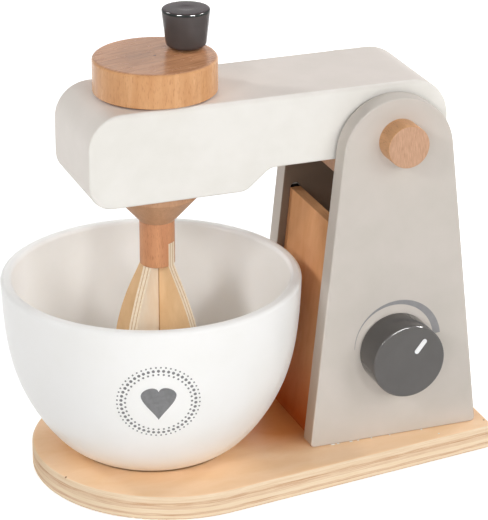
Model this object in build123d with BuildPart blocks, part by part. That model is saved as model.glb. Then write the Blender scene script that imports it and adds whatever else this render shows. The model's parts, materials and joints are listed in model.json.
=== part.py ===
from build123d import *
import os
from math import asin, atan2, cos, degrees, hypot, radians, sin, tan

# Wooden toy stand mixer. Millimetres, +Z up, the board's underside at Z = 0.
# The bowl stands at the front, at -X, and the tower at the rear, at +X. The dial is on the -Y side.
# The origin is under the middle of the whole mixer, so the front of the bowl and the rear end of
# the board are equally far from it.

# Base board: one round end, straight sides that draw in towards the rear
BASE_THICKNESS = 12.0
BASE_NOSE_R = 65.4
BASE_NOSE_X = -35.6
BASE_REAR_X = 113.6
BASE_REAR_WIDTH = 91.4
BASE_CORNER_R = 3.0
BASE_EDGE_R = 1.4

# Bowl: turned on a lathe, standing in a shallow round recess of the board
BOWL_X = -43.6
BOWL_R = 70.0
BOWL_RIM_Z = 97.0
BOWL_WALL = 5.4
BOWL_RIM_R = 1.8
BOWL_FOOT_R = 31.0
BOWL_FLOOR_R = 16.0
BOWL_FLOOR = 8.0
BOWL_OUTSIDE = [(42.2, 16), (52.9, 28), (64.0, 50), (68.6, 73)]
BOWL_INSIDE = [(63.2, 73), (58.4, 50), (46.6, 31), (32.0, 21.5)]
RECESS_DEPTH = 2.0
RECESS_R = 37.2

# Tower: two side panels with round crowns, closed in front and behind by thin panels in grooves
TOWER_X = 64.0
TOWER_WIDTH = 76.0
PANEL_THICKNESS = 10.0
PANEL_FRONT_X = 21.9
PANEL_REAR_X = 107.2
PANEL_CORNER_R = 2.0
PANEL_EDGE_R = 0.8
CROWN_R = 27.3
CROWN_Z = 154.3
FILLER_THICKNESS = 5.0
FILLER_INSET = 4.0
FILLER_TOP_Z = 118.3
GROOVE_DEPTH = 4.0
GROOVE_TOP_Z = 120.6
GLUE_GAP = 0.1

# Stop bar: the crosspiece in the tower that the lowered arm lies on
STOP_BAR_HEIGHT = 14.0
STOP_BAR_DEPTH = 12.0
STOP_BAR_FRONT_X = 45.0
STOP_PIN_R = 4.0
STOP_PIN_LENGTH = 16.0
STOP_PIN_IN_PANEL = 6.0

# Arm: one thick block that steps up to a thinner tail between the side panels
ARM_WIDTH = 52.4
ARM_FRONT_X = -80.6
ARM_REAR_X = 93.2
ARM_TOP_Z = 185.7
ARM_BOTTOM_Z = 141.4
ARM_STEP_HEIGHT = 10.0
ARM_STEP_X = -0.2
ARM_STEP_SLOPE = 40.0
ARM_STEP_R = 8.0
ARM_NOSE_TOP_R = 16.4
ARM_NOSE_BOTTOM_R = 11.3
ARM_TAIL_TOP_R = 19.6
ARM_TAIL_BOTTOM_R = 11.0
ARM_EDGE_R = 1.0

# Axle of the arm: a dowel glued in the side panels, with a round cap on each end
AXLE_Z = 161.7
AXLE_R = 6.0
AXLE_CAP_R = 10.1
AXLE_CAP_LENGTH = 11.2
AXLE_CAP_BORE = 8.0
AXLE_WASHER_R = 11.0
AXLE_WASHER_THICKNESS = 1.4

# Crank: the disc on top of the arm, its shaft through the arm, and the knob that turns it
CRANK_X = -40.4
CRANK_SHAFT_R = 5.0
DISC_R = 28.5
DISC_THICKNESS = 16.0
DISC_EDGE_R = 1.5
DISC_BORE_DEPTH = 11.0
UPPER_WASHER_THICKNESS = 0.7
UPPER_WASHER_R = 12.0
LOWER_WASHER_THICKNESS = 0.8
LOWER_WASHER_R = 11.0
KNOB_OFFSET = 18.3
KNOB_ANGLE = 20.1
KNOB_HEIGHT = 18.0
KNOB_TOP_R = 10.8
KNOB_BOTTOM_R = 8.95
KNOB_TOP_EDGE_R = 1.3
KNOB_BOTTOM_EDGE_R = 2.4
KNOB_WASHER_THICKNESS = 0.7
KNOB_WASHER_R = 4.6
KNOB_WASHER_PLAY = 0.3
KNOB_SCREW_R = 1.8
KNOB_SCREW_HEAD_R = 3.5
KNOB_SCREW_HEAD_HEIGHT = 2.4
KNOB_SCREW_HEAD_EDGE_R = 0.8
KNOB_SCREW_DEPTH = 11.0
KNOB_SCREW_RECESS_R = 4.4
KNOB_SCREW_RECESS_DEPTH = 4.0

# Beater: a cone and a short shaft, with two plywood blades that are halved where they cross. The
# blade with the tongue goes up into the shaft's slot, and the other one ends under the shaft.
CONE_TOP_R = 20.0
CONE_SLOPE = 0.9
CONE_RIM_R = 1.0
BEATER_SHAFT_R = 8.2
BEATER_SHAFT_TOP_Z = 123.3
BEATER_SHAFT_BOTTOM_Z = 101.8
CRANK_SHAFT_BOTTOM_Z = 114.8
BLADE_THICKNESS = 4.4
BLADE_TONGUE = 8.05
BLADE_TOP_Z = 113.2
BLADE_BOTTOM_Z = 27.0
BLADE_LAP_Z = 70.0
BLADE_ANGLE = -54.8
BLADE_SHAPE = [(13.7, 90), (21.4, 70), (24.0, 55), (20.5, 38)]

# Dial: the knob on the side panel, its shaft through the panel, and a collar that keeps it in
DIAL_Z = 57.6
DIAL_R = 17.7
DIAL_THICKNESS = 16.8
DIAL_EDGE_R = 1.2
DIAL_GAP = 0.4
DIAL_SHAFT_R = 5.0
DIAL_BORE_DEPTH = 11.0
DIAL_COLLAR_R = 11.0
DIAL_COLLAR_THICKNESS = 6.0
INDEX_ANGLE = 51.5
INDEX_LENGTH = 8.2
INDEX_WIDTH = 2.3
INDEX_MIDDLE = 8.95
INDEX_THICKNESS = 0.2

# Wood screws that hold the side panels to the board from below
BASE_SCREW_R = 2.0
BASE_SCREW_HEAD_R = 4.0
BASE_SCREW_LENGTH = 32.0
BASE_SCREW_SINK = 0.4
BASE_SCREW_SPREAD = 50.0

# Turning parts run with this much clearance on the radius, and cut wood has its edges eased
RUNNING_FIT = 0.08
EASED_EDGE = 0.4

# Worked out from the values above
TOWER_HALF = TOWER_WIDTH / 2
PANEL_INNER_Y = TOWER_HALF - PANEL_THICKNESS
PANEL_MIDDLE_Y = TOWER_HALF - PANEL_THICKNESS / 2
ARM_STEP_Z = ARM_BOTTOM_Z + ARM_STEP_HEIGHT
STOP_BAR_X = STOP_BAR_FRONT_X + STOP_BAR_DEPTH / 2
STOP_BAR_Z = ARM_STEP_Z - STOP_BAR_HEIGHT / 2
DISC_Z = ARM_TOP_Z + UPPER_WASHER_THICKNESS
DISC_TOP_Z = DISC_Z + DISC_THICKNESS
KNOB_Z = DISC_TOP_Z + KNOB_WASHER_THICKNESS
KNOB_X = CRANK_X + KNOB_OFFSET * cos(radians(KNOB_ANGLE))
KNOB_Y = KNOB_OFFSET * sin(radians(KNOB_ANGLE))
CONE_TOP_Z = ARM_BOTTOM_Z - LOWER_WASHER_THICKNESS
DIAL_BACK_Y = -TOWER_HALF - DIAL_GAP
BOWL_Z = BASE_THICKNESS - RECESS_DEPTH
CRANK_AXIS = Axis((CRANK_X, 0, 0), (0, 0, 1))
SCREW_SPOTS = [
    (TOWER_X + sx * BASE_SCREW_SPREAD / 2, sy * PANEL_MIDDLE_Y) for sx in (-1, 1) for sy in (-1, 1)
]


def panel_lean(foot_x):
    """Angle from upright, in degrees, of the panel edge that runs from its foot to the crown."""
    across = abs(TOWER_X - foot_x)
    up = CROWN_Z - BASE_THICKNESS
    return degrees(atan2(across, up) - asin(CROWN_R / hypot(across, up)))


def filler_x(foot_x, z, depth):
    """X, at height z, of a line that runs along a panel edge at this depth behind it."""
    inwards = 1 if foot_x < TOWER_X else -1
    lean = radians(panel_lean(foot_x))
    return foot_x + inwards * ((z - BASE_THICKNESS) * tan(lean) + depth / cos(lean))


def upright(x, y, z):
    """An upright plane at this point: its own X runs along +X, its Y along +Z, and it faces -Y."""
    return Plane(origin=(x, y, z), x_dir=(1, 0, 0), z_dir=(0, -1, 0))


def ring(plane, outer_r, inner_r, thickness):
    """A flat washer that starts on the plane and grows along the plane's normal."""
    with BuildPart() as washer:
        with BuildSketch(plane):
            Circle(outer_r)
            Circle(inner_r, mode=Mode.SUBTRACT)
        extrude(amount=thickness)
    return washer.part


# --- base board -------------------------------------------------------------------------------

with BuildPart() as base_board:
    corner_x = BASE_REAR_X - BASE_CORNER_R
    corner_y = BASE_REAR_WIDTH / 2 - BASE_CORNER_R
    with BuildSketch():
        with Locations((BASE_NOSE_X, 0)):
            Circle(BASE_NOSE_R)
        with Locations((corner_x, corner_y), (corner_x, -corner_y)):
            Circle(BASE_CORNER_R)
        make_hull()
    extrude(amount=BASE_THICKNESS)
    rims = base_board.edges().group_by(Axis.Z)
    fillet(rims[0] + rims[-1], BASE_EDGE_R)
    with BuildSketch(Plane.XY.offset(BASE_THICKNESS)):
        with Locations((BOWL_X, 0)):
            Circle(RECESS_R)
    extrude(amount=-RECESS_DEPTH, mode=Mode.SUBTRACT)
    with Locations([Location((x, y, 0), (180, 0, 0)) for x, y in SCREW_SPOTS]):
        CounterSinkHole(BASE_SCREW_R, BASE_SCREW_HEAD_R + BASE_SCREW_SINK, depth=BASE_THICKNESS)

with BuildPart() as base_screws:
    head_height = BASE_SCREW_HEAD_R - BASE_SCREW_R
    with BuildSketch(Plane.XZ):
        with BuildLine():
            Polyline(
                (0, BASE_SCREW_SINK),
                (BASE_SCREW_HEAD_R, BASE_SCREW_SINK),
                (BASE_SCREW_R, BASE_SCREW_SINK + head_height),
                (BASE_SCREW_R, BASE_SCREW_LENGTH - BASE_SCREW_R),
                (0, BASE_SCREW_LENGTH),
                close=True,
            )
        make_face()
    one_screw = revolve(axis=Axis.Z, mode=Mode.PRIVATE)
    with Locations([(x, y, 0) for x, y in SCREW_SPOTS]):
        add(one_screw)

# --- bowl -------------------------------------------------------------------------------------

with BuildPart() as bowl:
    inside_r = BOWL_R - BOWL_WALL
    floor_z = BOWL_Z + BOWL_FLOOR
    with BuildSketch(upright(BOWL_X, 0, 0)):
        with BuildLine():
            Line((0, BOWL_Z), (BOWL_FOOT_R, BOWL_Z))
            Spline((BOWL_FOOT_R, BOWL_Z), *BOWL_OUTSIDE, (BOWL_R, BOWL_RIM_Z))
            Line((BOWL_R, BOWL_RIM_Z), (inside_r, BOWL_RIM_Z))
            Spline((inside_r, BOWL_RIM_Z), *BOWL_INSIDE, (BOWL_FLOOR_R, floor_z))
            Line((BOWL_FLOOR_R, floor_z), (0, floor_z))
            Line((0, floor_z), (0, BOWL_Z))
        make_face()
    revolve(axis=Axis((BOWL_X, 0, 0), (0, 0, 1)))
    fillet(bowl.edges().group_by(Axis.Z)[-1], BOWL_RIM_R)

# --- tower ------------------------------------------------------------------------------------


def side_panel(side):
    """One side panel: side is -1 where the dial is, and +1 on the far side."""
    inner_face = Plane.XZ.offset(-side * PANEL_INNER_Y)
    outwards = -side
    with BuildPart() as panel:
        with BuildSketch(inner_face):
            with Locations((TOWER_X, CROWN_Z)):
                Circle(CROWN_R)
            foot_z = BASE_THICKNESS + PANEL_CORNER_R
            front_x = filler_x(PANEL_FRONT_X, foot_z, PANEL_CORNER_R)
            rear_x = filler_x(PANEL_REAR_X, foot_z, PANEL_CORNER_R)
            with Locations((front_x, foot_z), (rear_x, foot_z)):
                Circle(PANEL_CORNER_R)
            make_hull()
        extrude(amount=outwards * PANEL_THICKNESS)
        faces = panel.faces().filter_by(Axis.Y)
        fillet(faces.edges(), PANEL_EDGE_R)
        for foot_x in (PANEL_FRONT_X, PANEL_REAR_X):
            width = FILLER_THICKNESS + 2 * GLUE_GAP
            end_z = GROOVE_TOP_Z - width / 2
            depth = FILLER_INSET + FILLER_THICKNESS / 2
            with BuildSketch(inner_face):
                with BuildLine():
                    Line((filler_x(foot_x, 0, depth), 0), (filler_x(foot_x, end_z, depth), end_z))
                    offset(amount=width / 2)
                make_face()
            extrude(amount=outwards * GROOVE_DEPTH, mode=Mode.SUBTRACT)
        with BuildSketch(inner_face):
            with Locations((TOWER_X, AXLE_Z)):
                Circle(AXLE_R)
            if side < 0:
                with Locations((TOWER_X, DIAL_Z)):
                    Circle(DIAL_SHAFT_R + RUNNING_FIT)
        extrude(amount=outwards * PANEL_THICKNESS, mode=Mode.SUBTRACT)
        with BuildSketch(inner_face):
            with Locations((STOP_BAR_X, STOP_BAR_Z)):
                Circle(STOP_PIN_R)
        extrude(amount=outwards * STOP_PIN_IN_PANEL, mode=Mode.SUBTRACT)
        spots = [(x, y) for x, y in SCREW_SPOTS if y * side > 0]
        with Locations([Location((x, y, BASE_THICKNESS), (180, 0, 0)) for x, y in spots]):
            Hole(BASE_SCREW_R, depth=BASE_SCREW_LENGTH - BASE_THICKNESS)
    return panel.part


def filler_panel(foot_x):
    """The thin panel that closes the tower along one leaning edge of the side panels."""
    front, back = FILLER_INSET, FILLER_INSET + FILLER_THICKNESS
    with BuildPart() as filler:
        with BuildSketch(Plane.XZ):
            Polygon(
                (filler_x(foot_x, BASE_THICKNESS, front), BASE_THICKNESS),
                (filler_x(foot_x, BASE_THICKNESS, back), BASE_THICKNESS),
                (filler_x(foot_x, FILLER_TOP_Z, back), FILLER_TOP_Z),
                (filler_x(foot_x, FILLER_TOP_Z, front), FILLER_TOP_Z),
                align=None,
            )
        extrude(amount=PANEL_INNER_Y + GROOVE_DEPTH - GLUE_GAP, both=True)
    return filler.part


side_panel_dial = side_panel(-1)
side_panel_far = side_panel(1)
front_panel = filler_panel(PANEL_FRONT_X)
rear_panel = filler_panel(PANEL_REAR_X)

pin_start_y = PANEL_INNER_Y + STOP_PIN_IN_PANEL
pin_in_bar = STOP_PIN_LENGTH - STOP_PIN_IN_PANEL

with BuildPart() as stop_bar:
    with BuildSketch(Plane.XZ):
        with Locations((STOP_BAR_X, STOP_BAR_Z)):
            Rectangle(STOP_BAR_DEPTH, STOP_BAR_HEIGHT)
    extrude(amount=PANEL_INNER_Y, both=True)
    for end in (-1, 1):
        with BuildSketch(Plane.XZ.offset(end * PANEL_INNER_Y)):
            with Locations((STOP_BAR_X, STOP_BAR_Z)):
                Circle(STOP_PIN_R)
        extrude(amount=-end * pin_in_bar, mode=Mode.SUBTRACT)

with BuildPart() as stop_bar_pins:
    for end in (-1, 1):
        with BuildSketch(Plane.XZ.offset(end * pin_start_y)):
            with Locations((STOP_BAR_X, STOP_BAR_Z)):
                Circle(STOP_PIN_R)
        extrude(amount=-end * STOP_PIN_LENGTH)

# --- axle -------------------------------------------------------------------------------------

with BuildPart() as axle:
    with BuildSketch(Plane.XZ):
        with Locations((TOWER_X, AXLE_Z)):
            Circle(AXLE_R)
    extrude(amount=TOWER_HALF + AXLE_CAP_BORE, both=True)

with BuildPart() as axle_caps:
    for end in (-1, 1):
        with BuildSketch(Plane.XZ.offset(end * TOWER_HALF)):
            with Locations((TOWER_X, AXLE_Z)):
                Circle(AXLE_CAP_R)
        extrude(amount=end * AXLE_CAP_LENGTH)
    ends = axle_caps.faces().filter_by(Axis.Y).sort_by(Axis.Y)
    chamfer(ends[0].edges() + ends[-1].edges(), EASED_EDGE)
    for end in (-1, 1):
        with BuildSketch(Plane.XZ.offset(end * TOWER_HALF)):
            with Locations((TOWER_X, AXLE_Z)):
                Circle(AXLE_R)
        extrude(amount=end * AXLE_CAP_BORE, mode=Mode.SUBTRACT)

with BuildPart() as axle_washers:
    for end in (-1, 1):
        washer_plane = upright(TOWER_X, -end * PANEL_INNER_Y, AXLE_Z)
        add(ring(washer_plane, AXLE_WASHER_R, AXLE_R, -end * AXLE_WASHER_THICKNESS))

# --- arm --------------------------------------------------------------------------------------

with BuildPart() as arm:
    half_run = ARM_STEP_HEIGHT / tan(radians(ARM_STEP_SLOPE)) / 2
    with BuildSketch(Plane.XZ):
        with BuildLine():
            FilletPolyline(
                (ARM_FRONT_X, ARM_TOP_Z),
                (ARM_REAR_X, ARM_TOP_Z),
                (ARM_REAR_X, ARM_STEP_Z),
                (ARM_STEP_X + half_run, ARM_STEP_Z),
                (ARM_STEP_X - half_run, ARM_BOTTOM_Z),
                (ARM_FRONT_X, ARM_BOTTOM_Z),
                radius=[
                    ARM_NOSE_TOP_R,
                    ARM_TAIL_TOP_R,
                    ARM_TAIL_BOTTOM_R,
                    ARM_STEP_R,
                    ARM_STEP_R,
                    ARM_NOSE_BOTTOM_R,
                ],
                close=True,
            )
        make_face()
    extrude(amount=ARM_WIDTH / 2, both=True)
    fillet(arm.faces().filter_by(Axis.Y).edges(), ARM_EDGE_R)
    with BuildSketch(Plane.XZ):
        with Locations((TOWER_X, AXLE_Z)):
            Circle(AXLE_R + RUNNING_FIT)
    extrude(amount=ARM_WIDTH / 2, both=True, mode=Mode.SUBTRACT)
    with BuildSketch(Plane.XY.offset(ARM_TOP_Z)):
        with Locations((CRANK_X, 0)):
            Circle(CRANK_SHAFT_R + RUNNING_FIT)
    extrude(amount=ARM_BOTTOM_Z - ARM_TOP_Z, mode=Mode.SUBTRACT)

# --- crank ------------------------------------------------------------------------------------

with BuildPart() as crank_disc:
    with BuildSketch(Plane.XY.offset(DISC_Z)):
        with Locations((CRANK_X, 0)):
            Circle(DISC_R)
    extrude(amount=DISC_THICKNESS)
    fillet(crank_disc.edges().group_by(Axis.Z)[-1], DISC_EDGE_R)
    chamfer(crank_disc.edges().group_by(Axis.Z)[0], EASED_EDGE)
    with BuildSketch(Plane.XY.offset(DISC_Z)):
        with Locations((CRANK_X, 0)):
            Circle(CRANK_SHAFT_R)
    extrude(amount=DISC_BORE_DEPTH, mode=Mode.SUBTRACT)
    with Locations(Location((KNOB_X, KNOB_Y, DISC_Z), (180, 0, 0))):
        CounterBoreHole(
            KNOB_SCREW_R + RUNNING_FIT,
            KNOB_SCREW_RECESS_R,
            KNOB_SCREW_RECESS_DEPTH,
            depth=DISC_THICKNESS,
        )

upper_plane = Plane((CRANK_X, 0, ARM_TOP_Z))
lower_plane = Plane((CRANK_X, 0, CONE_TOP_Z))
knob_plane = Plane((KNOB_X, KNOB_Y, DISC_TOP_Z))
crank_upper_washer = ring(
    upper_plane, UPPER_WASHER_R, CRANK_SHAFT_R + RUNNING_FIT, UPPER_WASHER_THICKNESS
)
crank_lower_washer = ring(
    lower_plane, LOWER_WASHER_R, CRANK_SHAFT_R + RUNNING_FIT, LOWER_WASHER_THICKNESS
)
crank_knob_washer = ring(
    knob_plane, KNOB_WASHER_R, KNOB_SCREW_R + KNOB_WASHER_PLAY, KNOB_WASHER_THICKNESS
)

with BuildPart() as crank_shaft:
    with BuildSketch(Plane.XY.offset(CRANK_SHAFT_BOTTOM_Z)):
        with Locations((CRANK_X, 0)):
            Circle(CRANK_SHAFT_R)
    extrude(amount=DISC_Z + DISC_BORE_DEPTH - CRANK_SHAFT_BOTTOM_Z)

with BuildPart() as crank_knob:
    with BuildSketch(upright(KNOB_X, KNOB_Y, KNOB_Z)):
        Polygon(
            (0, 0), (KNOB_BOTTOM_R, 0), (KNOB_TOP_R, KNOB_HEIGHT), (0, KNOB_HEIGHT), align=None
        )
    revolve(axis=Axis((KNOB_X, KNOB_Y, 0), (0, 0, 1)))
    fillet(crank_knob.edges().group_by(Axis.Z)[-1], KNOB_TOP_EDGE_R)
    fillet(crank_knob.edges().group_by(Axis.Z)[0], KNOB_BOTTOM_EDGE_R)
    with Locations(Location((KNOB_X, KNOB_Y, KNOB_Z), (180, 0, 0))):
        Hole(KNOB_SCREW_R, depth=KNOB_SCREW_DEPTH)

with BuildPart() as crank_knob_screw:
    screw_head_z = DISC_Z + KNOB_SCREW_RECESS_DEPTH
    with BuildSketch(Plane.XY.offset(screw_head_z)):
        with Locations((KNOB_X, KNOB_Y)):
            Circle(KNOB_SCREW_HEAD_R)
    extrude(amount=-KNOB_SCREW_HEAD_HEIGHT)
    fillet(crank_knob_screw.edges().group_by(Axis.Z)[0], KNOB_SCREW_HEAD_EDGE_R)
    with BuildSketch(Plane.XY.offset(screw_head_z)):
        with Locations((KNOB_X, KNOB_Y)):
            Circle(KNOB_SCREW_R)
    extrude(amount=KNOB_Z + KNOB_SCREW_DEPTH - screw_head_z)

# --- beater -----------------------------------------------------------------------------------

with BuildPart() as beater_cone:
    rim_z = BEATER_SHAFT_TOP_Z + (CONE_TOP_R - BEATER_SHAFT_R) / CONE_SLOPE
    with BuildSketch(upright(CRANK_X, 0, 0)):
        Polygon(
            (CRANK_SHAFT_R, BEATER_SHAFT_TOP_Z),
            (BEATER_SHAFT_R, BEATER_SHAFT_TOP_Z),
            (CONE_TOP_R, rim_z),
            (CONE_TOP_R, CONE_TOP_Z),
            (CRANK_SHAFT_R, CONE_TOP_Z),
            align=None,
        )
    revolve(axis=CRANK_AXIS)
    rounds = beater_cone.edges().filter_by(GeomType.CIRCLE)
    fillet(rounds.filter_by(lambda edge: edge.radius > CONE_TOP_R - EASED_EDGE), CONE_RIM_R)

tongue_plane, plain_plane = [
    Plane(
        origin=(CRANK_X, 0, 0),
        x_dir=(cos(radians(a)), sin(radians(a)), 0),
        z_dir=(sin(radians(a)), -cos(radians(a)), 0),
    )
    for a in (BLADE_ANGLE, BLADE_ANGLE + 90)
]

with BuildPart() as beater_shaft:
    with BuildSketch(Plane.XY.offset(BEATER_SHAFT_BOTTOM_Z)):
        with Locations((CRANK_X, 0)):
            Circle(BEATER_SHAFT_R)
    extrude(amount=BEATER_SHAFT_TOP_Z - BEATER_SHAFT_BOTTOM_Z)
    chamfer(beater_shaft.edges().group_by(Axis.Z)[0], EASED_EDGE)
    with BuildSketch(Plane.XY.offset(BEATER_SHAFT_TOP_Z)):
        with Locations((CRANK_X, 0)):
            Circle(CRANK_SHAFT_R)
    extrude(amount=CRANK_SHAFT_BOTTOM_Z - BEATER_SHAFT_TOP_Z, mode=Mode.SUBTRACT)
    with BuildSketch(tongue_plane):
        with Locations((0, BEATER_SHAFT_BOTTOM_Z)):
            Rectangle(4 * BEATER_SHAFT_R, 2 * (BLADE_TOP_Z - BEATER_SHAFT_BOTTOM_Z))
    extrude(amount=BLADE_THICKNESS / 2, both=True, mode=Mode.SUBTRACT)


def beater_blade(plane, has_tongue):
    """One plywood blade. The one with the tongue is halved from below, and the other from above."""
    top_z = BLADE_TOP_Z if has_tongue else BEATER_SHAFT_BOTTOM_Z
    with BuildPart() as blade:
        with BuildSketch(plane):
            with BuildLine():
                Line((0, top_z), (BLADE_TONGUE, top_z))
                if has_tongue:
                    Line((BLADE_TONGUE, top_z), (BLADE_TONGUE, BEATER_SHAFT_BOTTOM_Z))
                Spline(
                    (BLADE_TONGUE, BEATER_SHAFT_BOTTOM_Z),
                    *BLADE_SHAPE,
                    (0, BLADE_BOTTOM_Z),
                    tangents=((0.42, -1), (-1, 0)),
                )
                mirror(about=Plane.YZ)
            make_face()
        extrude(amount=BLADE_THICKNESS / 2, both=True)
        start_z, end_z = (0, BLADE_LAP_Z) if has_tongue else (BLADE_LAP_Z, ARM_BOTTOM_Z)
        with BuildSketch(plane):
            with Locations((0, (start_z + end_z) / 2)):
                Rectangle(BLADE_THICKNESS, end_z - start_z)
        extrude(amount=BLADE_THICKNESS, both=True, mode=Mode.SUBTRACT)
    return blade.part


beater_blade_tongued = beater_blade(tongue_plane, True)
beater_blade_plain = beater_blade(plain_plane, False)

# --- dial -------------------------------------------------------------------------------------

dial_back = upright(TOWER_X, DIAL_BACK_Y, DIAL_Z)
dial_face = dial_back.offset(DIAL_THICKNESS)
collar_face = upright(TOWER_X, -PANEL_INNER_Y + DIAL_GAP, DIAL_Z)

with BuildPart() as dial_knob:
    with BuildSketch(dial_back):
        Circle(DIAL_R)
    extrude(amount=DIAL_THICKNESS)
    fillet(dial_knob.edges().group_by(Axis.Y)[0], DIAL_EDGE_R)
    chamfer(dial_knob.edges().group_by(Axis.Y)[-1], EASED_EDGE)
    with BuildSketch(dial_back):
        Circle(DIAL_SHAFT_R)
    extrude(amount=DIAL_BORE_DEPTH, mode=Mode.SUBTRACT)

with BuildPart() as dial_index:
    with BuildSketch(dial_face):
        with PolarLocations(INDEX_MIDDLE, 1, start_angle=INDEX_ANGLE):
            SlotOverall(INDEX_LENGTH, INDEX_WIDTH)
    extrude(amount=INDEX_THICKNESS)

with BuildPart() as dial_shaft:
    with BuildSketch(dial_back.offset(DIAL_BORE_DEPTH)):
        Circle(DIAL_SHAFT_R)
    extrude(amount=-(DIAL_BORE_DEPTH + DIAL_GAP + PANEL_THICKNESS + DIAL_GAP + DIAL_COLLAR_THICKNESS))

dial_collar = ring(collar_face, DIAL_COLLAR_R, DIAL_SHAFT_R, -DIAL_COLLAR_THICKNESS)

# --- export -----------------------------------------------------------------------------------

pieces = {
    "base_board": base_board.part,
    "base_screws": base_screws.part,
    "bowl": bowl.part,
    "side_panel_dial": side_panel_dial,
    "side_panel_far": side_panel_far,
    "front_panel": front_panel,
    "rear_panel": rear_panel,
    "stop_bar": stop_bar.part,
    "stop_bar_pins": stop_bar_pins.part,
    "axle": axle.part,
    "axle_caps": axle_caps.part,
    "axle_washers": axle_washers.part,
    "arm": arm.part,
    "crank_disc": crank_disc.part,
    "crank_upper_washer": crank_upper_washer,
    "crank_lower_washer": crank_lower_washer,
    "crank_shaft": crank_shaft.part,
    "crank_knob": crank_knob.part,
    "crank_knob_screw": crank_knob_screw.part,
    "crank_knob_washer": crank_knob_washer,
    "beater_cone": beater_cone.part,
    "beater_shaft": beater_shaft.part,
    "beater_blade_tongued": beater_blade_tongued,
    "beater_blade_plain": beater_blade_plain,
    "dial_knob": dial_knob.part,
    "dial_index": dial_index.part,
    "dial_shaft": dial_shaft.part,
    "dial_collar": dial_collar,
}

os.makedirs("parts", exist_ok=True)
for name, piece in pieces.items():
    piece.label = name
    export_step(piece, f"parts/{name}.step")
print(len(pieces), "nodes written")
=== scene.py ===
# %% [markdown]
# # A wooden toy stand mixer
#
# This lesson dresses a finished CAD model of a toy mixer: a bowl on a plywood board, a painted
# tower, a white arm that tilts, and a hand crank that turns a beater. The CAD model has every
# wooden piece in its right shape and size, so most of the work here is in finishes and light.
# A few pieces are modelled again with more detail than the CAD has, and the prints are added.

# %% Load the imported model
import json
from math import cos, pi, radians, sin

import bmesh
import bpy
from mathutils import Matrix, Vector

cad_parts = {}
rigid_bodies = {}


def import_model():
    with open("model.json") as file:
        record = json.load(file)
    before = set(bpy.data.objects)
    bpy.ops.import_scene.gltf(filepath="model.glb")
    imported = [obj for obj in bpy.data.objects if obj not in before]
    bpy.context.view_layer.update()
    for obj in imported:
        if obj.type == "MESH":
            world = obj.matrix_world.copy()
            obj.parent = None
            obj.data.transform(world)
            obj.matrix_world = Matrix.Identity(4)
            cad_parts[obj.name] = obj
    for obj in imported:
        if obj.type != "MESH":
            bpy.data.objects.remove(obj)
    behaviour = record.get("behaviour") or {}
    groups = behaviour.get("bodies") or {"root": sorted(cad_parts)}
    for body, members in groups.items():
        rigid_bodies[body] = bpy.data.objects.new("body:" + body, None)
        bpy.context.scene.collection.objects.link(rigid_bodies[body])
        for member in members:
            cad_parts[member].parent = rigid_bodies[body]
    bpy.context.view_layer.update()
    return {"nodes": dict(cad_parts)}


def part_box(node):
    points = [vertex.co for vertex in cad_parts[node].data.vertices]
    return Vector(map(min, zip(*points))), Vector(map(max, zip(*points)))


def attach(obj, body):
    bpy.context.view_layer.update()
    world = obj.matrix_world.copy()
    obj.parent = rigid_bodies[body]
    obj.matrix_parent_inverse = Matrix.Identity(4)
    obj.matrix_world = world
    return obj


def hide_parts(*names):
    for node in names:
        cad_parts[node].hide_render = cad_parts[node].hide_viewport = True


# The factory scene's own cube, lamp and camera would be counted with the mixer.
bpy.ops.object.select_all(action="SELECT")
bpy.ops.object.delete()

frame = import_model()
nodes = frame["nodes"]
print("pieces from CAD:", len(nodes))

# %% [markdown]
# ## Units and colours
#
# Blender measures in metres, but a toy is easier to think of in millimetres. Colours are written
# as the hex codes that a paint program shows. Blender's shaders want linear light instead, so one
# function turns the one into the other.

# %% Millimetres and hex colours
MM = 0.001


def srgb(code):
    """The linear colour of an sRGB hex code such as #F3F0EA."""
    shown = [int(code[i:i + 2], 16) / 255 for i in (1, 3, 5)]
    return [c / 12.92 if c <= 0.04045 else ((c + 0.055) / 1.055) ** 2.4 for c in shown] + [1.0]


print("white lacquer in linear light:", [round(c, 3) for c in srgb("#F3F0EA")])

# %% [markdown]
# ## One helper for all nodes
#
# A material is a tree of nodes. In the editor each one is added, set and linked by hand, and this
# helper does those three things. An input that is given a socket is linked to it, and any other
# input is set to the value. A Mix node has several inputs with the same name, one for each kind
# of data, so the places of its colour sockets get names of their own.

# %% Add a node, set it and link it
FACTOR, COLOUR_A, COLOUR_B, MIXED = 0, 6, 7, 2


def add_node(tree, kind, inputs=None, **settings):
    node = tree.nodes.new("ShaderNode" + kind)
    for name, value in settings.items():
        if name == "ramp":
            stops = node.color_ramp.elements
            while len(stops) < len(value):
                stops.new(1.0)
            for stop, (place, colour) in zip(stops, value):
                stop.position = place
                stop.color = colour
        else:
            setattr(node, name, value)
    for name, value in (inputs or {}).items():
        if isinstance(value, bpy.types.NodeSocket):
            tree.links.new(value, node.inputs[name])
        else:
            node.inputs[name].default_value = value
    return node


def start_finish(name, shader_inputs):
    """A new material: its shader, and the place and direction of each point of the surface."""
    material = bpy.data.materials.new(name)
    material.use_nodes = True
    tree = material.node_tree
    tree.nodes.clear()
    shader = add_node(tree, "BsdfPrincipled", shader_inputs)
    add_node(tree, "OutputMaterial", {"Surface": shader.outputs["BSDF"]})
    where = add_node(tree, "TexCoord")
    place = add_node(tree, "VectorMath", {"Vector": where.outputs["Object"], "Scale": 1 / MM},
                     operation="SCALE").outputs["Vector"]
    return material, tree, shader, place, where.outputs["Normal"]


BLACK, WHITE = (0, 0, 0, 1), (1, 1, 1, 1)

# %% [markdown]
# ## What the finishes share
#
# Every finish below is made of the same few steps: two colours spread over a noise, two colours
# mixed by a share, a range of roughness, a fine relief, and the question whether a surface looks
# along an axis.

# %% Steps that the finishes share


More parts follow.
